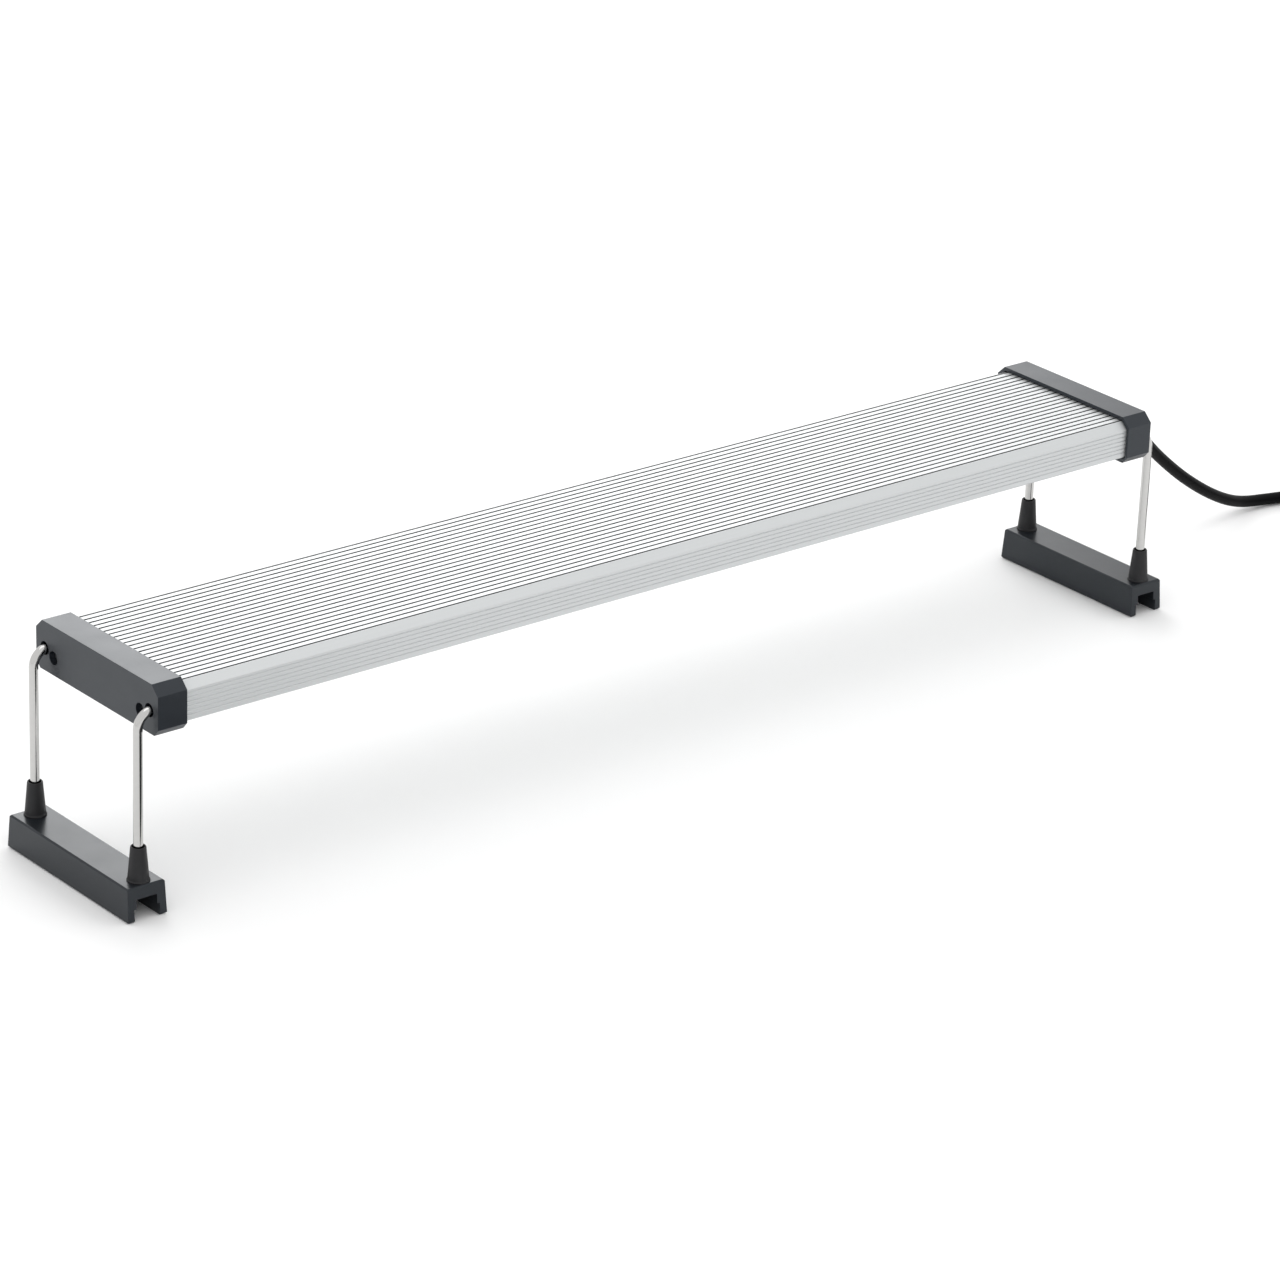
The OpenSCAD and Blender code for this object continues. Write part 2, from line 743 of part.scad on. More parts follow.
housing();
clear_cover();
thermal_pad();
led_board();
leds();
board_screws();
driver_pad();
driver_board();
driver_parts();
driver_cover();
link_wires();
supply_wires();
end_cap_left();
end_cap_right();
cap_seal(-1);  // cap_seal_left
cap_seal(1);  // cap_seal_right
cap_screws(-1);  // cap_screws_left
cap_screws(1);  // cap_screws_right
rod_guides(-1);  // rod_guides_left
rod_guides(1);  // rod_guides_right
rod_grips(-1);  // rod_grips_left
rod_grips(1);  // rod_grips_right
rod(-1, -rod_y);  // rod_left_front
rod(-1, rod_y);  // rod_left_back
rod(1, -rod_y);  // rod_right_front
rod(1, rod_y);  // rod_right_back
rod_stops(-1);  // rod_stops_left
rod_stops(1);  // rod_stops_right
sleeve(-1, -rod_y);  // sleeve_left_front
sleeve(-1, rod_y);  // sleeve_left_back
sleeve(1, -rod_y);  // sleeve_right_front
sleeve(1, rod_y);  // sleeve_right_back
rail(-1);  // rail_left
rail(1);  // rail_right
strain_relief();
cord_lead();
cord_coil();
cord_tail();
coil_ties();
plug_body();
plug_pins();
plug_pin_sleeves();
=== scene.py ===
"""Looks of an LED aquarium light on two sliding wire stands.

Every size is in metres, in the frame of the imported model: X along the lamp, -Y its front, Z up.
"""

import json
import math

import bmesh
import bpy
from bpy.props import FloatProperty, FloatVectorProperty, PointerProperty
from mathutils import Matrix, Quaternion, Vector


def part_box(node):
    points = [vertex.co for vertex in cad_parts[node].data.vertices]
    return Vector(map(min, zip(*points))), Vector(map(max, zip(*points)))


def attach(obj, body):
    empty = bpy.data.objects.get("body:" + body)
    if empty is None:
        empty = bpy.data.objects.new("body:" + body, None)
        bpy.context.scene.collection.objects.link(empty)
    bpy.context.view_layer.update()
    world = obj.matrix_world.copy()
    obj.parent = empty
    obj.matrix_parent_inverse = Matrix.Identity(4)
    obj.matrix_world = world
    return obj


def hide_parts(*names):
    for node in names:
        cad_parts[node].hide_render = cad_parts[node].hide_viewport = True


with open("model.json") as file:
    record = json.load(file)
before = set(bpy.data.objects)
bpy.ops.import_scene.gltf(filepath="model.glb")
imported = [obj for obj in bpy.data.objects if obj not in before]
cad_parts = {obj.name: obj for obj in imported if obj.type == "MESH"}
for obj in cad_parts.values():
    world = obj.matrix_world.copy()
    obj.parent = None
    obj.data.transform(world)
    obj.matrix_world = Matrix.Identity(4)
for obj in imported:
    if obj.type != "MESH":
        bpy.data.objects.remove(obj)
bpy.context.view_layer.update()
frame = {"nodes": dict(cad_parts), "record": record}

bl_info = {
    "name": "Aquarium light",
    "version": (1, 0, 0),
    "blender": (4, 5, 0),
    "location": "3D View > Sidebar > Aquarium light",
    "description": "Builds the pieces of an aquarium light with sliding stands around its frame",
    "category": "Add Mesh",
}

MM = 0.001
SIDES = {"left": -1, "right": 1}
DEPTHS = ("front", "back")
SHARP = math.radians(32)  # a mesh's edges that turn further than this stay crisp
WELD = 1e-6  # points closer than this are one

# The lead's own points in millimetres: from inside the cap to the coil, then from the coil to the plug.
LEAD_POINTS = [
    (292, 0, 94), (302, 0, 94), (312, 0, 94), (324, 1, 91.5), (338, 6, 82.5), (353, 12, 69),
    (370, 16, 53.5), (387, 18, 39.5), (402, 19, 28.5), (418, 20, 18.5), (434, 22, 10.5),
    (449, 24, 5.4), (464, 23, 3.6), (478, 19, 3.4), (492, 11, 3.4), (506, 1, 3.7), (517, -7, 4),
]
TAIL_POINTS = [
    (484, -88.7, 10.2), (472, -88.7, 8.9), (462, -88.7, 7.5), (454, -88.7, 6.9),
    (446, -88.7, 6.9), (436, -88.7, 6.9),
]
PATH_STEP = 2 * MM  # from one point of the lead's finished path to the next

TOP_BOX = {"place": (0.1, 0.2, 2.4), "aim": (0, 0, 0), "size": (2.4, 1.6)}
BACK_BOX = {"place": (0.85, 1.7, 1.0), "aim": (0, 0, 0.1), "size": (1.6, 0.9)}
FLOOR_DROP = 0.05 * MM  # keeps the floor clear of the feet that stand on it


# ---- sizes and colours a user would change ----

def length(name, description, default):
    return FloatProperty(name=name, description=description, default=default, min=0, unit="LENGTH")


def colour(name, description, default):
    return FloatVectorProperty(name=name, description=description, default=default, size=3,
                               min=0, max=1, subtype="COLOR")


class LampSizes(bpy.types.PropertyGroup):
    """Sizes of the fine shapes of the lamp."""
    fin_edge: length("Fin edge", "Radius along the edges of the cooling fins", 0.16 * MM)
    groove_depth: length("Groove depth", "Depth of the grooves between the fins", 3.2 * MM)
    # Painted shade: the colour in the grooves between the fins is multiplied by this, to stand in for the
    # shade that falls there.
    painted_groove_shade: FloatProperty(name="Painted groove shade", description="Share of the colour left in the grooves",
                                default=0.08, min=0, max=1, subtype="FACTOR")
    slope: length("Slope", "Width of the slope beside the grooves, seen from above", 4.2 * MM)
    cap_edge: length("Cap edge", "Radius along the edges of the end caps", 0.45 * MM)
    rail_edge: length("Rail edge", "Radius along the edges of the foot rails", 0.5 * MM)
    plug_edge: length("Plug edge", "Radius along the edges of the plug", 1.1 * MM)
    pin_edge: length("Pin edge", "Radius along the edges of the plug's pins", 0.25 * MM)
    pin_sleeve_edge: length("Pin sleeve edge", "Radius along the edges of the pins' sleeves", 0.1 * MM)
    tie_edge: length("Strap edge", "Radius along the edges of the straps", 0.4 * MM)
    trim_edge: length("Trim edge", "Radius along the edges of small parts", 0.12 * MM)
    sleeve_mouth: length("Sleeve mouth", "Outer radius of a sleeve at its mouth", 3.65 * MM)
    spigot: length("Sleeve spigot", "Radius of the part of a sleeve inside the rail", 3.45 * MM)
    wire_radius: length("Wire radius", "Radius of the stainless wire", 2.2 * MM)
    wire_bend: length("Wire bend", "Radius of the wire's bend at its centre line", 8 * MM)
    lens_radius: length("Lens radius", "Radius of an LED's phosphor", 1.15 * MM)
    lens_height: length("Lens height", "How far the phosphor stands out of an LED", 0.15 * MM)
    lens_sink: length("Lens sink", "How deep the phosphor sits in an LED's package", 0.1 * MM)
    led_end: length("LED end", "Length of an LED's tinned end", 0.25 * MM)
    led_edge: length("LED edge", "Radius along the edges of an LED's package", 0.12 * MM)


class LeadSizes(bpy.types.PropertyGroup):
    """Sizes of the mains lead."""
    diameter: length("Diameter", "Diameter of the lead", 6.2 * MM)
    full_length: length("Length", "Length of the lead from the cap to the plug", 1.59)
    coil_radius: length("Coil radius", "Radius of the coil's outermost turns", 43.7 * MM)
    turn_gap: length("Turn gap", "Distance from one turn of the coil to the next", 6.5 * MM)


class Colours(bpy.types.PropertyGroup):
    """Colours of the materials."""
    aluminium: colour("Aluminium", "Satin anodised housing", (0.615, 0.63, 0.635))
    cap: colour("End cap", "Moulded plastic of the end caps", (0.009, 0.0115, 0.016))
    rail: colour("Foot rail", "Moulded plastic of the foot rails", (0.012, 0.0142, 0.0175))
    sleeve: colour("Sleeve", "Rubber of the sleeves", (0.008, 0.008, 0.0095))
    wire: colour("Wire", "Polished stainless wire", (0.56, 0.555, 0.545))
    lead: colour("Lead", "Sheath of the mains lead", (0.0025, 0.0025, 0.003))
    phosphor: colour("Phosphor", "Yellow phosphor of the LEDs", (0.90, 0.62, 0.08))
    board: colour("LED board", "White solder mask", (0.86, 0.87, 0.85))


class Studio(bpy.types.PropertyGroup):
    """The camera, the lights and the floor."""
    eye: FloatVectorProperty(name="Eye", description="Place of the camera", size=3, subtype="XYZ",
                             unit="LENGTH", default=(-1.4802, -1.7934, 1.0390))
    heading: FloatProperty(name="Heading", description="Turn of the view from +Y towards +X",
                           default=math.radians(39.76), subtype="ANGLE")
    dip: FloatProperty(name="Dip", description="How far the view looks down",
                       default=math.radians(23.19), subtype="ANGLE")
    roll: FloatProperty(name="Roll", description="How far the right side of the view tilts up",
                        default=math.radians(2.07), subtype="ANGLE")
    lens: FloatProperty(name="Lens", description="Focal length for a 36 mm sensor, in millimetres",
                        default=148.3, min=10, max=500, unit="CAMERA")
    floor_size: length("Floor size", "Side of the square floor", 30)
    card_place: FloatVectorProperty(name="Card place", description="Place of the dark card", size=3,
                                    subtype="XYZ", unit="LENGTH", default=(-0.21, -0.2, 0.0005))
    card_size: length("Card size", "Side of the square dark card", 0.18)
    sky: FloatProperty(name="Sky", description="Strength of the even light all round", default=1.0, min=0)
    top_power: FloatProperty(name="Top box", description="Power of the soft box above", default=10, min=0,
                             unit="POWER")
    back_power: FloatProperty(name="Back box", description="Power of the soft box behind", default=14.5,
                              min=0, unit="POWER")


# ---- meshes ----

def new_object(name, bm, *materials):
    """A shaded object from a bmesh, which is freed."""
    bmesh.ops.recalc_face_normals(bm, faces=bm.faces)
    mesh = bpy.data.meshes.new(name)
    bm.to_mesh(mesh)
    bm.free()
    for material in materials:
        mesh.materials.append(material)
    mesh.shade_smooth()
    mesh.set_sharp_from_angle(angle=SHARP)
    obj = bpy.data.objects.new(name, mesh)
    bpy.context.scene.collection.objects.link(obj)
    return obj


def place(obj, body, slot, *nodes):
    """Puts a finished piece on its body in place of CAD nodes."""
    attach(obj, body)
    if nodes:
        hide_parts(*nodes)
    return obj


def even_normals(obj):
    """Keeps flat faces flat beside their rounded edges."""
    modifier = obj.modifiers.new("Even normals", "WEIGHTED_NORMAL")
    modifier.keep_sharp = True
    modifier.weight = 100
    return obj


def body_of(node):
    for body, members in frame["record"]["behaviour"]["bodies"].items():
        if node in members:
            return body
    raise RuntimeError(f"{node} is on no body")


def slot_of(node):
    for row in frame["record"]["subparts"]:
        if row["node"] == node:
            return row["material_slot"]
    raise RuntimeError(f"{node} has no material slot")


def welded(node):
    """A bmesh of a CAD node with its doubled points joined."""
    bm = bmesh.new()
    bm.from_mesh(frame["nodes"][node].data)
    bmesh.ops.remove_doubles(bm, verts=bm.verts, dist=WELD)
    return bm


def softened(node, material, edge, segments=3, from_angle=26):
    """A piece of the CAD node's own shape, with the edges that turn by from_angle degrees rounded."""
    bm = welded(node)
    flat = math.radians(0.6)
    bmesh.ops.dissolve_limit(bm, angle_limit=flat, verts=bm.verts, edges=bm.edges)
    sharp = [e for e in bm.edges if e.is_manifold and e.calc_face_angle(0) > math.radians(from_angle)]
    bmesh.ops.bevel(bm, geom=sharp, offset=edge, offset_type="OFFSET", segments=segments,
                    profile=0.5, affect="EDGES", clamp_overlap=True, loop_slide=True)
    obj = even_normals(new_object(node + "_skin", bm, material))
    return place(obj, body_of(node), slot_of(node), node)


def smooth_path(points, step):
    """Points every step along a smooth curve through the given ones."""
    p = [2 * points[0] - points[1]] + points + [2 * points[-1] - points[-2]]
    cuts = 24
    fine = []
    for a, b, c, d in zip(p, p[1:], p[2:], p[3:]):
        for k in range(cuts):
            t = k / cuts
            fine.append(0.5 * ((2 * b) + (c - a) * t + (2 * a - 5 * b + 4 * c - d) * t * t
                               + (3 * b - a - 3 * c + d) * t ** 3))
    fine.append(p[-2])
    path, left = [fine[0]], step
    for a, b in zip(fine, fine[1:]):
        run = (b - a).length
        while run > left:
            a = a + (b - a) * (left / run)
            run -= left
            path.append(a)
            left = step
        left -= run
    path.append(fine[-1])
    return path


def sweep(bm, path, radius, sides):
    """Adds a closed round tube along a path, with no twist."""
    ways = [(b - a).normalized() for a, b in zip(path, path[1:])]
    ways = [ways[0]] + [(a + b).normalized() for a, b in zip(ways, ways[1:])] + [ways[-1]]
    up = Vector((0, 0, 1)) if abs(ways[0].z) < 0.9 else Vector((0, 1, 0))
    across = ways[0].cross(up).normalized()
    rings = []
    for i, (point, way) in enumerate(zip(path, ways)):
        if i:
            across = ways[i - 1].rotation_difference(way) @ across
        other = way.cross(across).normalized()
        turn = [math.tau * k / sides for k in range(sides)]
        rings.append([bm.verts.new(point + radius * (math.cos(a) * across + math.sin(a) * other))
                      for a in turn])
    for a, b in zip(rings, rings[1:]):
        for k in range(sides):
            bm.faces.new((a[k], a[(k + 1) % sides], b[(k + 1) % sides], b[k]))
    bm.faces.new(rings[0][::-1])
    bm.faces.new(rings[-1])


def lathe(bm, profile, x, y, sides):
    """Adds a closed ring turned round an upright axis from an outline of (radius, height) points."""
    rings = []
    for k in range(sides):
        a = math.tau * k / sides
        rings.append([bm.verts.new((x + r * math.cos(a), y + r * math.sin(a), h)) for r, h in profile])
    n = len(profile)
    for k in range(sides):
        a, b = rings[k], rings[(k + 1) % sides]
        for i in range(n):
            bm.faces.new((a[i], b[i], b[(i + 1) % n], a[(i + 1) % n]))


def block_into(bm, low, high, edge, material_index):
    """Adds a block with rounded edges between two corners, as a part of a larger piece."""
    made = bmesh.ops.create_cube(bm, size=1)["verts"]
    for v in made:
        v.co = Vector([low[i] + (v.co[i] + 0.5) * (high[i] - low[i]) for i in range(3)])
    edges = list(dict.fromkeys(e for v in made for e in v.link_edges))
    before = set(bm.faces) - {f for v in made for f in v.link_faces}
    bmesh.ops.bevel(bm, geom=edges, offset=edge, offset_type="OFFSET", segments=2, profile=0.5,
                    affect="EDGES", clamp_overlap=True)
    for face in set(bm.faces) - before:
        face.material_index = material_index


def dome_into(bm, centre, r, base, tip, material_index, sides=24):
    """Adds a shallow closed dome that hangs from the height base down to the height tip."""
    before = set(bm.faces)
    turn = [math.tau * k / sides for k in range(sides)]
    crown = 0.8  # the share of the height that curves
    rings = []
    for share in (1.0, 0.98, 0.85, 0.6, 0.3):
        z = base if share == 1.0 else tip + (base - tip) * share ** 4 * crown
        rings.append([bm.verts.new((centre.x + r * share * math.cos(a),
                                    centre.y + r * share * math.sin(a), z)) for a in turn])
    for a, b in zip(rings, rings[1:]):
        for i in range(sides):
            bm.faces.new((a[i], a[(i + 1) % sides], b[(i + 1) % sides], b[i]))
    bm.faces.new(rings[0])
    bm.faces.new(rings[-1])
    for face in set(bm.faces) - before:
        face.material_index = material_index


def loose_boxes(node):
    """The lowest and highest corner of each separate solid of a CAD node."""
    bm = welded(node)
    left, boxes = set(bm.verts), []
    for start in bm.verts:
        if start not in left:
            continue
        left.discard(start)
        found, todo = [], [start]
        while todo:
            v = todo.pop()
            found.append(v.co.copy())
            for e in v.link_edges:
                other = e.other_vert(v)
                if other in left:
                    left.discard(other)
                    todo.append(other)
        boxes.append((Vector([min(c[i] for c in found) for i in range(3)]),
                      Vector([max(c[i] for c in found) for i in range(3)])))
    bm.free()
    return boxes


# ---- materials ----

class Surface:
    """A Principled material with helpers for fine grain."""

    def __init__(self, name, base, roughness, metallic=0.0, **inputs):
        self.material = bpy.data.materials.new(name)
        self.material.use_nodes = True
        self.tree = self.material.node_tree
        self.shader = self.tree.nodes["Principled BSDF"]
        self.shader.inputs["Base Color"].default_value = (*base, 1)
        self.shader.inputs["Roughness"].default_value = roughness
        self.shader.inputs["Metallic"].default_value = metallic
        for key, value in inputs.items():
            self.shader.inputs[key.replace("_", " ")].default_value = value
        self.base, self.roughness, self.bump = base, roughness, None
        self.place = self.tree.nodes.new("ShaderNodeTexCoord").outputs["Object"]

    def node(self, kind, **settings):
        made = self.tree.nodes.new(kind)
        for key, value in settings.items():
            setattr(made, key, value)
        return made

    def stretched(self, scale):
        """Object coordinates, in metres, scaled by axis."""
        mapping = self.node("ShaderNodeMapping")
        mapping.inputs["Scale"].default_value = scale
        self.tree.links.new(self.place, mapping.inputs["Vector"])
        return mapping.outputs["Vector"]

    def noise(self, scale, stretch=(1, 1, 1), detail=2.0, rough=0.5):
        texture = self.node("ShaderNodeTexNoise")
        texture.inputs["Scale"].default_value = scale
        texture.inputs["Detail"].default_value = detail
        texture.inputs["Roughness"].default_value = rough
        self.tree.links.new(self.stretched(stretch), texture.inputs["Vector"])
        return texture.outputs["Fac"]

    def cells(self, scale, stretch=(1, 1, 1)):
        texture = self.node("ShaderNodeTexVoronoi")
        texture.inputs["Scale"].default_value = scale
        self.tree.links.new(self.stretched(stretch), texture.inputs["Vector"])
        return texture.outputs["Distance"]

    def remap(self, value, low, high, to_low, to_high):
        spread = self.node("ShaderNodeMapRange")
        for key, number in (("From Min", low), ("From Max", high), ("To Min", to_low), ("To Max", to_high)):
            spread.inputs[key].default_value = number
        self.tree.links.new(value, spread.inputs["Value"])
        return spread.outputs["Result"]

    def shade(self, value, darker, low=0.35, high=0.65):
        """Varies the colour from darker times the base to the base."""
        mix = self.node("ShaderNodeMix", data_type="RGBA")
        mix.inputs["A"].default_value = (*[c * darker for c in self.base], 1)
        mix.inputs["B"].default_value = (*self.base, 1)
        self.tree.links.new(self.remap(value, low, high, 0, 1), mix.inputs["Factor"])
        self.tree.links.new(mix.outputs["Result"], self.shader.inputs["Base Color"])
        return self

    def combine(self, operation, *values):
        made = self.node("ShaderNodeMath", operation=operation)
        for socket, value in zip(made.inputs, values):
            self.tree.links.new(value, socket)
        return made.outputs["Value"]

    def dim(self, value, darker):
        """Multiplies the colour made so far by darker where value is 1."""
        colour = self.shader.inputs["Base Color"]
        mix = self.node("ShaderNodeMix", data_type="RGBA", blend_type="MULTIPLY")
        self.tree.links.new(colour.links[0].from_socket, mix.inputs["A"])
        mix.inputs["B"].default_value = (darker, darker, darker, 1)
        self.tree.links.new(value, mix.inputs["Factor"])
        self.tree.links.new(mix.outputs["Result"], colour)
        return self

    def vary_gloss(self, value, spread, low=0.3, high=0.7):
        """Varies the roughness by spread either way."""
        result = self.remap(value, low, high, self.roughness - spread, self.roughness + spread)
        self.tree.links.new(result, self.shader.inputs["Roughness"])
        return self

    def grain(self, value, depth, strength=1.0):
        """Adds a bump of the given depth in metres, on top of earlier ones."""
        bump = self.node("ShaderNodeBump")
        bump.inputs["Distance"].default_value = depth
        bump.inputs["Strength"].default_value = strength
        self.tree.links.new(value, bump.inputs["Height"])
        if self.bump:
            self.tree.links.new(self.bump, bump.inputs["Normal"])
        self.bump = bump.outputs["Normal"]
        self.tree.links.new(self.bump, self.shader.inputs["Normal"])
        return self


def moulded_plastic(name, base, roughness, shine):
    """Spark-eroded moulding: fine pits, with faint flow marks in colour and gloss."""
    s = Surface(name, base, roughness, Specular_IOR_Level=shine, Specular_Tint=(0.88, 0.94, 1, 1))
    s.shade(s.noise(240, (1, 1, 2.5), 4), 0.88)
    s.vary_gloss(s.noise(60, (1, 1, 2), 4), 0.025)
    return s.grain(s.cells(3400), 0.000004, 0.5).material


def soft_rubber(name, base, roughness=0.62):
    """Dusty matt rubber with a fine tooth."""
    s = Surface(name, base, roughness, Specular_IOR_Level=0.38)
    s.shade(s.noise(320, detail=5), 0.8)
    s.vary_gloss(s.noise(300, detail=3), 0.03)
    return s.grain(s.noise(2400, detail=3), 0.00002, 0.7).material


def anodised(name, base, sizes):
    """Extruded, etched and anodised aluminium: die lines under a fine satin tooth, with painted shade
    darkening the grooves.
    """
    s = Surface(name, base, 0.46, 0.4, Specular_IOR_Level=0.2)
    die_lines = (1, 60, 60)
    s.shade(s.noise(14, die_lines, 3), 0.985)
    s.vary_gloss(s.noise(22, die_lines, 4), 0.015)
    s.grain(s.noise(30, die_lines, 4, 0.6), 0.000002, 0.3)
    s.grain(s.noise(3200, detail=2), 0.000004, 0.4)
    # Painted shade: a mask from the fin tops down to the groove floors, inside the slopes, darkens the
    # colour in the grooves.
    axes = s.node("ShaderNodeSeparateXYZ")
    s.tree.links.new(s.place, axes.inputs["Vector"])
    height, across = axes.outputs["Z"], s.combine("ABSOLUTE", axes.outputs["Y"])
    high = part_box("housing")[1]
    top, floor, brow = high.z - 0.03 * MM, high.z - sizes.groove_depth - 0.1 * MM, high.y - sizes.slope
    below_top = s.remap(height, top - 0.07 * MM, top, 1, 0)
    above_floor = s.remap(height, floor - 0.1 * MM, floor, 0, 1)
    between_slopes = s.remap(across, brow - 0.1 * MM, brow, 1, 0)
    deep = s.combine("MULTIPLY", below_top, above_floor)
    return s.dim(s.combine("MULTIPLY", deep, between_slopes), sizes.painted_groove_shade).material


def polished_wire(name, base):
    """Drawn and polished wire, with fine marks that run no special way round its bend."""
    s = Surface(name, base, 0.12, 1.0)
    s.shade(s.noise(500, detail=4), 0.97)
    s.vary_gloss(s.noise(260, detail=4), 0.02)
    return s.grain(s.noise(1800, detail=3), 0.0000015, 0.3).material


def plain_finish(name, base, roughness, metallic=0.0, grain_scale=1500, **inputs):
    """A small part's finish: slight mottling and a fine tooth."""
    s = Surface(name, base, roughness, metallic, **inputs)
    s.shade(s.noise(300, detail=3), 0.85)
    s.vary_gloss(s.noise(400, detail=3), 0.05)
    return s.grain(s.noise(grain_scale, detail=2), 0.000015, 0.5).material


def sheath_plastic(name, base):
    """Extruded soft PVC with faint lines along it and a light bloom."""
    s = Surface(name, base, 0.48, Specular_IOR_Level=0.08)
    s.shade(s.noise(400, detail=4), 0.8)
    s.vary_gloss(s.noise(300, detail=4), 0.03)
    return s.grain(s.noise(1500, detail=3), 0.00001, 0.6).material


def clear_acrylic(name):
    s = Surface(name, (0.80, 0.86, 0.88), 0.06, Alpha=0.12, IOR=1.49)
    s.vary_gloss(s.noise(40, (1, 6, 6), 3), 0.03)
    return s.grain(s.noise(25, (1, 4, 4)), 0.00003, 0.3).material


def solder_mask(name, base):
    """A board's glossy lacquer, with the copper's edges faintly raised under it."""
    s = Surface(name, base, 0.3)
    s.shade(s.noise(90, (0.4, 3, 1), 3), 0.93)
    return s.grain(s.cells(160, (0.5, 1.6, 1)), 0.00003, 0.35).material


def strap_cloth(name, base):
    """Looped strap with a close weave."""
    s = Surface(name, base, 0.85, Sheen_Weight=0.08)
    s.shade(s.cells(1800), 0.5, 0, 0.6)
    return s.grain(s.cells(1800), 0.00006, 0.7).material


def make_materials():
    """Every material, by the record's slot name."""
    c = bpy.context.scene.lamp_colours
    return {
        "anodised_aluminium": anodised("Anodised aluminium", c.aluminium, bpy.context.scene.lamp_sizes),
        "cap_plastic": moulded_plastic("Cap plastic", c.cap, 0.34, 0.54),
        "rail_plastic": moulded_plastic("Rail plastic", c.rail, 0.3, 0.38),
        "sleeve_rubber": soft_rubber("Sleeve rubber", c.sleeve, 0.5),
        "stainless_wire": polished_wire("Stainless wire", c.wire),
        "screw_steel": plain_finish("Zinc screw", (0.30, 0.30, 0.31), 0.35, 1.0),
        "brass": plain_finish("Turned brass", (0.72, 0.52, 0.22), 0.3, 1.0),
        "nylon": plain_finish("Natural nylon", (0.80, 0.79, 0.72), 0.5),
        "seal_rubber": soft_rubber("Seal rubber", (0.012, 0.012, 0.013)),
        "clear_acrylic": clear_acrylic("Clear acrylic"),
        "thermal_pad": plain_finish("Thermal pad", (0.45, 0.47, 0.50), 0.8),
        "white_board": solder_mask("White solder mask", c.board),
        "led_phosphor": plain_finish("Phosphor", c.phosphor, 0.35, 0.0, 3000),
        "green_board": solder_mask("Green solder mask", (0.02, 0.16, 0.06)),
        "driver_parts": plain_finish("Driver parts", (0.05, 0.05, 0.055), 0.45),
        "white_plastic": plain_finish("White plastic", (0.82, 0.82, 0.79), 0.4),
        "red_wire": plain_finish("Red wire", (0.45, 0.03, 0.02), 0.4),
        "brown_wire": plain_finish("Brown wire", (0.12, 0.05, 0.02), 0.4),
        "cord_pvc": sheath_plastic("Lead sheath", c.lead),
        "pin_metal": plain_finish("Nickel", (0.72, 0.69, 0.62), 0.22, 1.0),
        "package": plain_finish("LED package", (0.85, 0.85, 0.82), 0.35),
        "plug_pvc": moulded_plastic("Moulded PVC of the plug", (0.006, 0.006, 0.0065), 0.42, 0.4),
        "tie": strap_cloth("Looped strap", (0.015, 0.015, 0.016)),
        "tin": plain_finish("Tin", (0.75, 0.76, 0.78), 0.3, 1.0),
    }


MATERIALS = {}


# ---- operators: the stage, the lead, then the lamp's pieces ----

class LAMP_OT_stage(bpy.types.Operator):
    """Set up the camera, the pale floor and the soft lights"""
    bl_idname = "lamp.stage"
    bl_label = "Studio stage"

    def camera(self, studio):
        data = bpy.data.cameras.new("Camera")
        data.lens = studio.lens
        data.sensor_width = 36
        data.clip_start = 0.1
        data.clip_end = 100
        obj = bpy.data.objects.new("Camera", data)
        level = math.cos(studio.dip)
        ahead = Vector((math.sin(studio.heading) * level, math.cos(studio.heading) * level,
                        -math.sin(studio.dip)))
        obj.rotation_mode = "QUATERNION"
        obj.rotation_quaternion = ahead.to_track_quat("-Z", "Y") @ Quaternion((0, 0, 1), studio.roll)
        obj.location = studio.eye
        bpy.context.scene.collection.objects.link(obj)
        bpy.context.scene.camera = obj

    def floor(self, studio):
        bm = bmesh.new()
        bmesh.ops.create_grid(bm, x_segments=1, y_segments=1, size=studio.floor_size / 2)
        s = Surface("Floor paper", (0.93, 0.93, 0.93), 0.9)
        s.shader.inputs["Specular IOR Level"].default_value = 0.1
        s.shade(s.noise(1.5, detail=2), 0.99)
        obj = new_object("Floor", bm, s.material)
        obj.location.z = -FLOOR_DROP

    def dark_card(self, studio):
        """A card that gives the glossy parts a dark side, and shows in nothing else."""
        bm = bmesh.new()
        bmesh.ops.create_grid(bm, x_segments=1, y_segments=1, size=studio.card_size / 2)
        obj = new_object("Dark card", bm, Surface("Card", (0.01, 0.01, 0.01), 1.0).material)
        obj.location = studio.card_place
        for rays in ("camera", "diffuse", "shadow", "transmission"):
            setattr(obj, "visible_" + rays, False)

    def softbox(self, name, place, aim, size, watts):
        data = bpy.data.lights.new(name, "AREA")
        data.shape = "RECTANGLE"
        data.size, data.size_y = size
        data.energy = watts
        obj = bpy.data.objects.new(name, data)
        obj.location = place
        obj.rotation_mode = "QUATERNION"
        obj.rotation_quaternion = (Vector(aim) - Vector(place)).to_track_quat("-Z", "Y")
        bpy.context.scene.collection.objects.link(obj)

    def execute(self, context):
        studio = context.scene.lamp_studio
        self.camera(studio)
        self.floor(studio)
        world = bpy.data.worlds.new("Sky")
        world.use_nodes = True
        world.node_tree.nodes["Background"].inputs["Color"].default_value = (1, 1, 1, 1)
        world.node_tree.nodes["Background"].inputs["Strength"].default_value = studio.sky
        context.scene.world = world
        context.scene.view_settings.view_transform = "Standard"
        self.softbox("Top box", watts=studio.top_power, **TOP_BOX)
        self.softbox("Back box", watts=studio.back_power, **BACK_BOX)
        self.dark_card(studio)
        return {"FINISHED"}


